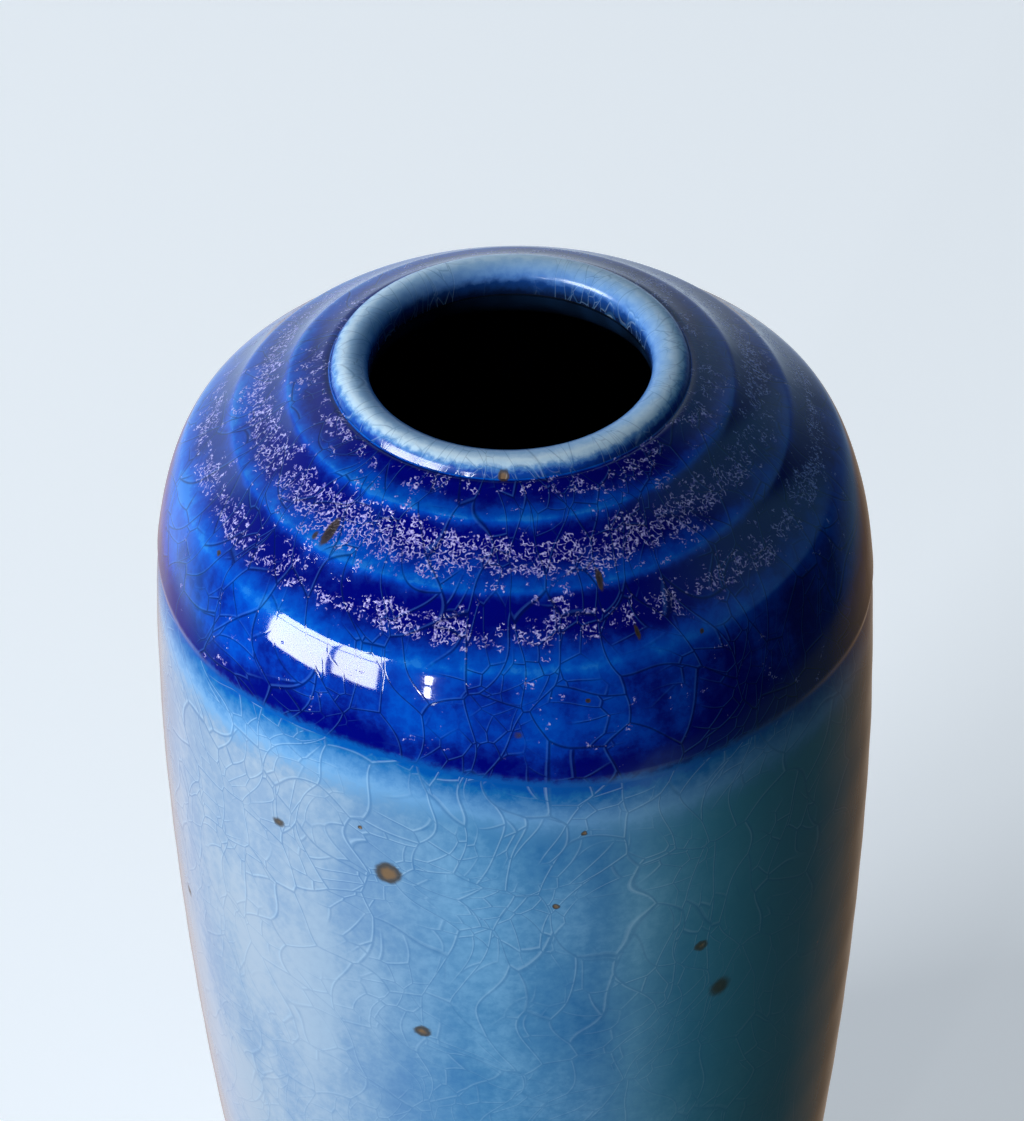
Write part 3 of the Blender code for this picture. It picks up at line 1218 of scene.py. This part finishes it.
@dataclass(frozen=True)
class PaleFinish:
    """The pale blue base coat: clouded, crackled and foamed white under the cobalt."""

    tones: tuple[Stop, ...] = (
        (0.1, hue(42, 104, 156)),
        (0.5, hue(66, 122, 166)),
        (0.95, hue(98, 148, 186)),
    )
    melt_tones: tuple[Stop, ...] = (
        (0.0, EDGE),
        (0.9, hue(20, 94, 156)),
        (2.0, hue(62, 116, 168)),
        (4.0, hue(96, 146, 190)),
        (7.0, hue(66, 122, 166)),
    )
    # The lip's tones from down the throat, over the lip's edge, to the neck; the darkening down the
    # throat, below -4.7 mm, is partly deeper glaze and partly painted shade of the hollow.
    rim_tones: tuple[Stop, ...] = (
        (-8.0, hue(6, 16, 34)),
        (-6.6, hue(10, 26, 58)),
        (-5.4, hue(20, 60, 124)),
        (-4.7, hue(74, 120, 184)),
        (-3.8, hue(114, 156, 204)),
        (-2.8, hue(156, 190, 220)),
        (-2.0, hue(206, 226, 238)),
        (-1.4, hue(180, 208, 228)),
        (-0.95, hue(84, 134, 190)),
        (-0.5, hue(14, 62, 148)),
        (0.2, hue(6, 34, 112)),
    )
    # the colour of the painted sheen on the window side
    window_side_sheen: Colour = hue(147, 161, 176)
    teal: Colour = hue(62, 130, 146)
    foot: Colour = hue(110, 104, 92)
    cloud_shares: tuple[float, float, float] = (0.42, 0.28, 0.30)
    iron_matt: float = 0.25
    iron_depth: float = -0.03
    lip_matt: float = 0.15
    foot_matt: float = 0.2
    roughness: float = 0.07

    def material(self, effects: GlazeEffects, foot_along: float) -> bpy.types.Material:
        """Builds the material.

        Args:
            effects: The shared effect groups.
            foot_along: How far down the wall the glaze ends, in millimetres.

        Returns:
            The pale blue glaze.
        """
        flaws = Flaws(
            crackle={"Cell": 4.6, "Width": 0.13, "Fill": 0.52},
            specks={"Spacing": 0.012, "Size": 0.0007, "Share": 0.16},
            swell=0.035,
            spots=FLANK_SPOTS + LIP_SPOTS,
            bleed_end=0.45,
            marks=(
                # painted highlight beside each crack, then the crack, the iron's bleed and its core
                (hue(168, 198, 222), 0.28),
                (hue(44, 92, 138), 0.42),
                (hue(58, 50, 38), 0.9),
                (hue(128, 98, 62), 0.6),
            ),
        )
        coat = OuterFinish(Slot.PALE, effects, flaws)
        graph, drift, along = coat.graph, coat.drift, coat.along
        cloud = 0.0
        for name, share in zip(("Cloud", "Streak", "Grain"), self.cloud_shares):
            cloud = graph.math("MULTIPLY_ADD", drift[name], share, cloud)
        # painted sheen: a pale, milky tone on the -X side, which faces the window, standing in for
        # its reflection
        sheen_share = graph.rise(coat.across, -2 * MM, -30 * MM)
        sheen_patches = graph.rise(cloud, 0.2, 0.75, (0.62, 0.95))
        sheen_share = graph.math("MULTIPLY", sheen_share, sheen_patches)
        glass = graph.mix(sheen_share, graph.ramp(cloud, self.tones), self.window_side_sheen)
        green = graph.math("MULTIPLY", graph.rise(coat.across, 6 * MM, 24 * MM), 0.8)
        glass = graph.mix(green, glass, self.teal)

        curds = graph.swing(drift["Cloud"], 0.5)
        ragged = graph.math("MULTIPLY_ADD", coat.wander, 1.8, curds)
        below = graph.math("SUBTRACT", ragged, coat.lap)
        melt = graph.ramp(below, self.melt_tones, 0.0, 10.0)
        colour = graph.mix(graph.rise(below, 2.5, 8.0), melt, glass)
        # the lip's ramp, with its partly painted shade down the throat
        down_lip = graph.math("MULTIPLY_ADD", coat.wander, 0.8, along)
        lip = graph.ramp(down_lip, self.rim_tones, -8.0, 1.0)
        colour = graph.mix(graph.rise(along, -0.3, 1.0), lip, colour)

        faint = graph.rise(along, 44.0, 74.0, (1.0, 0.45))
        clear = graph.math("MULTIPLY", coat.wall["Off Seam"], faint)
        colour, sunk, bleed, core = coat.flawed(colour, clear)
        roll = graph.rise(along, foot_along - 2.2, foot_along - 0.4)
        colour = graph.mix(graph.math("MULTIPLY", roll, 0.75), colour, self.foot)
        matt = graph.math("MULTIPLY_ADD", bleed, self.iron_matt, self.roughness)
        at_lip = graph.rise(along, 0.5, -1.0)
        matt = graph.math("MULTIPLY_ADD", at_lip, self.lip_matt, matt)
        matt = graph.math("MULTIPLY_ADD", roll, self.foot_matt, matt)
        return coat.fired(colour, matt, graph.math("MULTIPLY_ADD", core, self.iron_depth, sunk))


@dataclass(frozen=True)
class LinerFinish:
    """The dark blue glaze inside the hollow, near black: partly the glaze's own colour and partly
    painted shade of the hollow.
    """

    # near-black tones: partly the glaze's colour, partly painted shade of the hollow
    shade: Colour = hue(6, 16, 30)
    glass: Colour = hue(14, 34, 60)
    iron: Colour = hue(40, 32, 26)
    roughness: float = 0.12

    def material(self, effects: GlazeEffects) -> bpy.types.Material:
        """Builds the material.

        Args:
            effects: The shared effect groups.

        Returns:
            The liner glaze.
        """
        coat = Finish(Slot.LINER.value)
        graph, place = coat.graph, coat.place
        drift = effects.drift.use(graph, Place=place)
        skin = effects.skin.use(graph, Place=place, Swell=0.12, Pits=0.05)
        colour = graph.mix(drift.outputs["Streak"], self.shade, self.glass)
        iron = effects.iron.use(graph, Place=place, Spacing=0.010, Size=0.0005, Share=0.2)
        colour = graph.mix(iron.outputs["Bleed"], colour, self.iron)
        uneven = graph.math("MULTIPLY_ADD", drift.outputs["Cloud"], 0.1, self.roughness)
        return coat.fired(colour, uneven, skin.outputs["Height"])


@dataclass(frozen=True)
class StonewareFinish:
    """The bare toasted clay of the foot, groggy and speckled with iron."""

    light: Colour = hue(205, 180, 148)
    dark: Colour = hue(160, 128, 96)
    toast: Colour = hue(150, 96, 60)
    grog: Colour = hue(222, 206, 182)
    iron: Colour = hue(66, 46, 34)
    roughness: float = 0.82

    def material(self, effects: GlazeEffects, foot_line: float) -> bpy.types.Material:
        """Builds the material.

        Args:
            effects: The shared effect groups.
            foot_line: The height where the glaze begins.

        Returns:
            The fired stoneware.
        """
        clay = Finish(Slot.STONEWARE.value)
        graph, place = clay.graph, clay.place
        blotch = graph.noise(place, 9 * MM, 3.0, 0.6).outputs["Fac"]
        grit = graph.noise(place, 0.5 * MM, 4.0, 0.7).outputs["Fac"]
        colour = graph.mix(graph.rise(blotch, 0.3, 0.7), self.dark, self.light)
        grains = graph.cells(place, 0.7 * MM, "F1")
        pick = graph.add("SeparateColor", {0: grains.outputs["Color"]})
        grain = graph.rise(grains.outputs["Distance"], 0.2, 0.4, (1.0, 0.0))
        chosen = graph.math("GREATER_THAN", pick.outputs["Red"], 0.72)
        grog = graph.math("MULTIPLY", grain, chosen)
        colour = graph.mix(graph.math("MULTIPLY", grog, 0.6), colour, self.grog)
        iron = effects.iron.use(graph, Place=place, Spacing=0.0028, Size=0.0004, Share=0.3)
        colour = graph.mix(iron.outputs["Bleed"], colour, self.iron)
        height = graph.add("SeparateXYZ", {0: place}).outputs["Z"]
        flash = graph.rise(height, foot_line - 3.0 * MM, foot_line)
        colour = graph.mix(graph.math("MULTIPLY", flash, 0.6), colour, self.toast)
        coarse = graph.math("MULTIPLY_ADD", grit, 0.2, self.roughness - 0.1)
        body = graph.math("MULTIPLY_ADD", grog, 0.02, graph.math("MULTIPLY", grit, 0.09))
        pitted = graph.math("MULTIPLY_ADD", iron.outputs["Core"], -0.05, body)
        return clay.fired(colour, coarse, pitted)


# ------------------------------------------------------------------------------------- pieces


@dataclass
class Coat:
    """What every coat is made from.

    Below plain_from, measured from the lip's edge, no glaze line wanders, and below throat_end,
    measured down the hollow, little is seen, so the rows stand wider apart there.
    """

    form: ThrownForm
    marks: HandMarks
    effects: GlazeEffects
    turns: int = 288
    plain_from: float = 0.038
    throat_end: float = 0.026

    def turned(self, name: str, outline: np.ndarray) -> TurnedPiece:
        """Turns a piece and puts it out of round by the potter's hand.

        Args:
            name: The piece's name.
            outline: Rows of (radius, height).

        Returns:
            The turned piece.
        """
        piece = TurnedPiece(name, outline, self.turns)
        piece.place(outline[piece.station], self.marks)
        return piece

    def settle(
        self, piece: TurnedPiece, material: bpy.types.Material, slot: Slot, node: str
    ) -> bpy.types.Object:
        """Dresses the piece and puts it on its body in place of its CAD node.

        Args:
            piece: The finished piece.
            material: What it is made of.
            slot: The record's material slot; not used.
            node: The CAD node that it stands for.

        Returns:
            The piece's object.
        """
        piece.dress(material)
        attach(piece.solid, "root")
        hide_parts(node)
        log.info("%s: %d faces", piece.solid.name, len(piece.solid.data.polygons))
        return piece.solid


@dataclass
class PaleCoat(Coat):
    """The base coat: the flank, the lip and the throat."""

    thickness: float = 0.00035
    foot_roll: float = 0.00022

    def build(self) -> bpy.types.Object:
        """Turns the coat and dresses it.

        Returns:
            The coat's object.
        """
        wall = self.form.outer()
        start, end = wall.along[0], wall.along[-1]
        face = spaced(
            (start, 0.4 * MM, 0.22 * MM),
            (0.4 * MM, 27 * MM, 0.6 * MM),
            (27 * MM, self.plain_from, 0.5 * MM),
            (self.plain_from, end - 4 * MM, 1.5 * MM),
            (end - 4 * MM, end, 0.25 * MM),
        )
        back = spaced(
            (end, self.plain_from, 4 * MM), (self.plain_from, 0.0, 1.0 * MM), (0.0, start, 0.5 * MM)
        )
        along = np.concatenate([face, back])
        rolled = self.foot_roll * bell(face, end - 0.9 * MM, 0.7 * MM)
        lift = np.concatenate([rolled, np.full(len(back), -self.thickness)])
        outline = wall.at(along, lift)
        piece = self.turned("pale_glaze_coat", outline)
        along_mm = along[piece.station] / MM
        piece.tell(Facts.ALONG, along_mm)
        piece.tell(Facts.LAP, self.marks.dip_along(piece.turn) - along_mm)
        material = PaleFinish().material(self.effects, end / MM)
        return self.settle(piece, material, Slot.PALE, "base_glaze")


@dataclass
class CobaltCoat(Coat):
    """The coat lapped over the shoulder, from the lip's edge down to the wandering dip line."""

    bead: float = 0.00016
    clearance: float = 0.00002
    feather: float = 0.0012
    level_end: float = 0.032
    stretch_from: float = 0.020
    flank_pool: float = 0.56
    roll_pool: float = 0.42
    blooms: tuple[tuple[float, float, float], ...] = (
        (1.0, 8.4, 1.5),
        (0.72, 15.9, 1.25),
        (0.40, 2.0, 1.1),
    )
    scatter: float = 0.20

    def build(self) -> bpy.types.Object:
        """Turns the coat and dresses it.

        Returns:
            The coat's object.
        """
        wall = self.form.outer()
        end = self.level_end
        face = spaced((0.15 * MM, end, 0.2 * MM))
        back = spaced((end, 0.15 * MM, 0.6 * MM))[1:-1]
        outline = np.concatenate([wall.at(face, self.bead), wall.at(back, self.clearance)])
        piece = TurnedPiece("cobalt_glaze_coat", outline, self.turns)

        plain = np.concatenate([face, back])[piece.station]
        is_face = (piece.station < len(face)).astype(float)
        dip = self.marks.dip_along(piece.turn) * MM
        along = plain + (dip - end) * ease(plain, self.stretch_from, end)
        full = ease(along, 0.0, self.feather) * ease(dip - along, 0.0, self.feather) * is_face
        lift = self.clearance * (1.0 + full) + self.bead * full
        piece.place(wall.at(along, lift), self.marks)

        along_mm = along / MM
        lap_mm = (dip - along) / MM
        piece.tell(Facts.ALONG, along_mm)
        piece.tell(Facts.LAP, lap_mm)
        piece.tell(Facts.POOL, self._pool(along, lap_mm))
        piece.tell(Facts.BLOOM, self._bloom(along_mm))
        material = CobaltFinish().material(self.effects)
        return self.settle(piece, material, Slot.COBALT, "cobalt_glaze")

    def _pool(self, along: np.ndarray, lap_mm: np.ndarray) -> np.ndarray:
        """How deep the glass pooled: 0 on a ring's crest, 1 in its groove.

        Args:
            along: Distances from the lip's edge.
            lap_mm: Distances above the dip line, in millimetres.

        Returns:
            The pooling at each place.
        """
        _, share = self.form.ring_share(along)
        in_rings = np.sin(math.pi * share**self.form.pool_lean)
        last = self.form.crests[-1]
        past = np.clip(along - last, 0.0, None) / MM
        flank = self.flank_pool * (1.0 - np.exp(-past / 0.9)) - 0.08 * bell(past, 5.5, 1.3)
        roll = self.roll_pool * bell(lap_mm, 1.9, 1.5)
        return np.where(along < last, in_rings, np.clip(flank + roll, 0.0, 1.0))

    def _bloom(self, along_mm: np.ndarray) -> np.ndarray:
        """How ready each place is to grow crystals: most in the second ring's groove."""
        bands = sum(most * bell(along_mm, centre, spread) for most, centre, spread in self.blooms)
        return np.clip(bands + self.scatter * ease(along_mm, 20.0, 12.0), 0.0, 1.0)


@dataclass
class LinerCoat(Coat):
    """The coat inside the hollow, from the throat down over the floor."""

    thickness: float = 0.0004
    turns: int = 192

    def build(self) -> bpy.types.Object:
        """Turns the coat and dresses it.

        Returns:
            The coat's object.
        """
        hollow = self.form.hollow()
        end = hollow.along[-1]
        face = spaced((0.0, self.throat_end, 0.8 * MM), (self.throat_end, end, 2.0 * MM))
        inside = hollow.at(face)[::-1]
        behind = hollow.at(face, -self.thickness)
        inside[0][0] = behind[-1][0] = 0.0
        outline = np.concatenate([inside, behind])
        piece = self.turned("liner_glaze_coat", outline)
        material = LinerFinish().material(self.effects)
        return self.settle(piece, material, Slot.LINER, "liner_glaze")


@dataclass
class StonewareBody(Coat):
    """The clay: a trimmed foot ring and recess, and the wall hidden under the glass."""

    under_glaze: float = 0.00045
    ring_width: float = 0.0052
    recess: float = 0.0028
    edge: float = 0.0008
    tool_depth: float = 0.00010
    tool_pitch: float = 0.0021
    turns: int = 192

    def build(self) -> bpy.types.Object:
        """Turns the clay and dresses it.

        Returns:
            The clay's object.
        """
        wall, hollow = self.form.outer(), self.form.hollow()
        low, high = wall.along[-1], wall.along[0]
        rows_out = spaced(
            (low, self.plain_from, 3.0 * MM),
            (self.plain_from, 0.0, 0.8 * MM),
            (0.0, high, 0.5 * MM),
        )
        rows_in = spaced(
            (0.5 * MM, self.throat_end, 1.5 * MM), (self.throat_end, hollow.along[-1], 4 * MM)
        )
        outside = wall.at(rows_out, -self.under_glaze)
        inside = hollow.at(rows_in, -self.under_glaze - 0.3 * MM)
        inside[-1][0] = 0.0
        outline = np.concatenate([self._underside(), self._foot_side(outside[0]), outside, inside])
        piece = self.turned("stoneware_foot_and_wall", outline)
        material = StonewareFinish().material(self.effects, self.form.foot_line)
        return self.settle(piece, material, Slot.STONEWARE, "stoneware_body")

    def _underside(self) -> np.ndarray:
        """The recess with its trimming marks, and the foot ring's flat.

        Returns:
            Rows of (radius, height), from the axis out to the ring's outer edge.
        """
        inner = self.form.foot_radius - self.ring_width
        radii = spaced((0.0, inner - 2 * self.edge, 0.35 * MM))
        nub = 0.25 * MM * bell(radii, 0.0, 1.6 * MM)
        tooled = self.tool_depth * np.sin(math.tau * radii / self.tool_pitch)
        recess = np.stack([radii, self.recess + tooled * ease(radii, 1 * MM, 4 * MM) - nub], axis=1)
        step = Bend((inner - 2 * self.edge, self.recess), 0.0, (inner, self.edge), -90.0, 0.5, 0.5)
        inner_edge = self._round((inner + self.edge, self.edge), 180.0, 270.0)
        outer_edge = self._round((self.form.foot_radius - self.edge, self.edge), 270.0, 360.0)
        return np.concatenate([recess, step.points(8)[1:], inner_edge[1:], outer_edge])

    def _round(self, centre: Point, start: float, end: float) -> np.ndarray:
        """A quarter turn of the foot ring's rounded edge, between two angles in degrees."""
        turn = np.radians(np.linspace(start, end, 7))
        return np.array(centre) + self.edge * np.stack([np.cos(turn), np.sin(turn)], axis=1)

    def _foot_side(self, glaze_start: np.ndarray) -> np.ndarray:
        """The bare band up to the glaze, with the marks of the trimming tool.

        Args:
            glaze_start: The radius and height where the glaze begins.

        Returns:
            Rows of (radius, height), going up.
        """
        start = (self.form.foot_radius, self.edge)
        rows = Bend(start, 90.0, tuple(glaze_start), 80.0, 0.3, 0.3).points(18)[1:-1]
        rows[:, 0] += 0.05 * MM * np.sin(math.tau * rows[:, 1] / (1.6 * MM))
        return rows


# ------------------------------------------------------------------------------------- studio


@dataclass(frozen=True)
class Pane:
    """A bright rectangle seen from the vase: its angles round and up, in degrees."""

    turns: tuple[float, float]
    rises: tuple[float, float]
    radiance: float


@dataclass
class Studio:
    """The pale floor, the room's tones, the window light and the camera."""

    form: ThrownForm
    light_distance: float = 2.5
    light_colour: tuple[float, float, float] = (0.93, 0.97, 1.0)
    panes: tuple[Pane, ...] = (
        Pane((-78.0, -57.0), (-8.5, 13.0), 20.0),
        Pane((-78.0, -57.0), (14.0, 26.0), 20.0),
        Pane((-55.0, -41.0), (-5.5, 12.0), 20.0),
        Pane((-55.0, -41.0), (13.0, 26.5), 20.0),
        Pane((-26.8, -25.2), (-2.5, 3.2), 60.0),
        Pane((-27.0, -25.0), (5.0, 11.5), 60.0),
    )
    overhead: Colour = (0.012, 0.015, 0.02, 1.0)
    upper_tones: tuple[Stop, ...] = tones(
        (-180.0, 0.50, 0.70, 0.90),
        (-140.0, 0.50, 0.70, 1.00),
        (-100.0, 0.05, 0.10, 0.20),
        (-60.0, 0.01, 0.02, 0.03),
        (50.0, 0.01, 0.02, 0.03),
        (85.0, 0.10, 0.28, 0.45),
        (130.0, 0.10, 0.28, 0.45),
        (180.0, 0.50, 0.70, 0.90),
    )
    level_tones: tuple[Stop, ...] = tones(
        (-180.0, 0.80, 0.95, 1.15),
        (-142.0, 0.60, 0.90, 1.40),
        (-124.0, 0.80, 1.30, 1.85),
        (-112.0, 0.25, 0.80, 1.20),
        (-98.0, 0.02, 0.08, 0.16),
        (-60.0, 0.01, 0.02, 0.04),
        (60.0, 0.005, 0.01, 0.02),
        (115.0, 0.01, 0.03, 0.07),
        (134.0, 0.08, 0.16, 0.26),
        (150.0, 0.16, 0.25, 0.36),
        (180.0, 0.80, 0.95, 1.15),
    )
    table_tones: tuple[Stop, ...] = tones(
        (-180.0, 0.40, 0.32, 0.26),
        (-160.0, 0.66, 0.54, 0.50),
        (-140.0, 0.60, 0.52, 0.55),
        (-112.0, 0.10, 0.09, 0.10),
        (-60.0, 0.04, 0.06, 0.09),
        (0.0, 0.08, 0.11, 0.14),
        (24.0, 0.12, 0.20, 0.24),
        (38.0, 0.36, 0.70, 0.72),
        (54.0, 0.06, 0.18, 0.18),
        (64.0, 0.03, 0.10, 0.09),
        (110.0, 0.05, 0.07, 0.04),
        (150.0, 0.20, 0.13, 0.07),
        (180.0, 0.40, 0.32, 0.26),
    )
    upper_band: tuple[float, float] = (0.12, 0.32)
    overhead_band: tuple[float, float] = (0.6, 0.85)
    table_band: tuple[float, float] = (-0.44, -0.56)
    floor_colour: Colour = hue(226, 229, 232)
    floor_shade: Colour = hue(200, 204, 208)
    floor_glow: Colour = (0.96, 0.96, 0.94, 1.0)
    backdrop: Colour = hue(232, 237, 241)
    floor_lift: float = 0.40
    camera_height: float = 0.3996
    camera_back: float = 0.3366
    aim_height: float = 0.1128
    aim_side: float = -0.00024
    roll: float = -1.17
    lens: float = 136.13

    def build(self) -> None:
        """Sets the whole stage."""
        self._floor()
        self._surroundings()
        for number, pane in enumerate(self.panes, start=1):
            self._pane(f"window_pane_{number}", pane)
        self._camera()
        bpy.context.scene.view_settings.view_transform = "Standard"

    def _floor(self) -> None:
        """A wide pale floor with a faint, fine tooth."""
        bpy.ops.object.select_all(action="DESELECT")
        bpy.ops.mesh.primitive_plane_add(size=12.0, location=(0.0, 0.0, 0.0))
        floor = bpy.context.object
        floor.name = "studio_floor"
        finish = Finish("studio_floor")
        graph, shader = finish.graph, finish.shader
        tooth = graph.noise(finish.place, 2 * MM, 2.0).outputs["Fac"]
        shade = graph.rise(tooth, 0.2, 0.8, (0.0, 0.04))
        paint = graph.mix(shade, self.floor_colour, self.floor_shade)
        graph.feed(shader.inputs["Base Color"], paint)
        shader.inputs["Roughness"].default_value = 0.7
        shader.inputs["Specular IOR Level"].default_value = 0.2
        shader.inputs["Emission Color"].default_value = self.floor_glow
        shader.inputs["Emission Strength"].default_value = self.floor_lift
        floor.data.materials.append(finish.material)
        floor.visible_diffuse = floor.visible_glossy = False

    def _surroundings(self) -> None:
        """The room's tones all round: bright behind and on the left, dark in front and overhead."""
        world = bpy.data.worlds.new("studio_surroundings")
        bpy.context.scene.world = world
        world.use_nodes = True
        graph = Graph(world.node_tree)
        background = world.node_tree.nodes["Background"]
        way = graph.add("SeparateXYZ", {0: graph.add("TexCoord").outputs["Generated"]}).outputs
        back = graph.math("MULTIPLY", way["Y"], -1.0)
        turn = graph.math("DEGREES", graph.math("ARCTAN2", way["X"], back))
        level, table, upper = (
            graph.ramp(turn, around, -180.0, 180.0)
            for around in (self.level_tones, self.table_tones, self.upper_tones)
        )
        tone = level
        for band, there in (
            (self.upper_band, upper),
            (self.overhead_band, self.overhead),
            (self.table_band, table),
        ):
            tone = graph.mix(graph.rise(way["Z"], *band), tone, there)
        seen = graph.add("LightPath").outputs["Is Camera Ray"]
        graph.feed(background.inputs["Color"], graph.mix(seen, tone, self.backdrop))

    def _pane(self, name: str, pane: Pane) -> None:
        """Hangs one bright rectangle where the vase sees it at the pane's angles.

        Args:
            name: The light's name.
            pane: Its angles and radiance.
        """
        turn, rise = sum(pane.turns) / 2, sum(pane.rises) / 2
        width, height = (
            2 * self.light_distance * math.tan(math.radians(abs(high - low) / 2))
            for low, high in (pane.turns, pane.rises)
        )
        lamp = bpy.data.lights.new(name, "AREA")
        lamp.shape = "RECTANGLE"
        lamp.size, lamp.size_y = width, height
        lamp.energy = pane.radiance * math.pi * width * height
        lamp.color = self.light_colour
        holder = bpy.data.objects.new(name, lamp)
        bpy.context.scene.collection.objects.link(holder)
        middle = Vector((0.0, 0.0, self.form.height - 20 * MM))
        way = heading(turn, rise)
        holder.location = middle + way * self.light_distance
        holder.rotation_euler = way.to_track_quat("Z", "Y").to_euler()

    def _camera(self) -> None:
        """Looks down on the shoulder from in front, close in and with a long lens."""
        data = bpy.data.cameras.new("camera")
        data.lens = self.lens
        camera = bpy.data.objects.new("camera", data)
        bpy.context.scene.collection.objects.link(camera)
        spot = Vector((0.0, -self.camera_back, self.camera_height))
        aim = Vector((self.aim_side, 0.0, self.aim_height))
        turned = (spot - aim).to_track_quat("Z", "Y").to_matrix()
        turned = turned @ Matrix.Rotation(math.radians(self.roll), 3, "Z")
        camera.matrix_world = Matrix.Translation(spot) @ turned.to_4x4()
        bpy.context.scene.camera = camera


def main() -> None:
    """Builds the vase coat by coat, sets the stage and logs each piece's face count."""
    logging.basicConfig(level=logging.INFO, format="%(name)s: %(message)s")
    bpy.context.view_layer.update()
    form, marks, effects = ThrownForm.from_frame(), HandMarks(), GlazeEffects()
    for kind in (StonewareBody, PaleCoat, CobaltCoat, LinerCoat):
        kind(form, marks, effects).build()
    Studio(form).build()


if __name__ == "__main__":
    main()
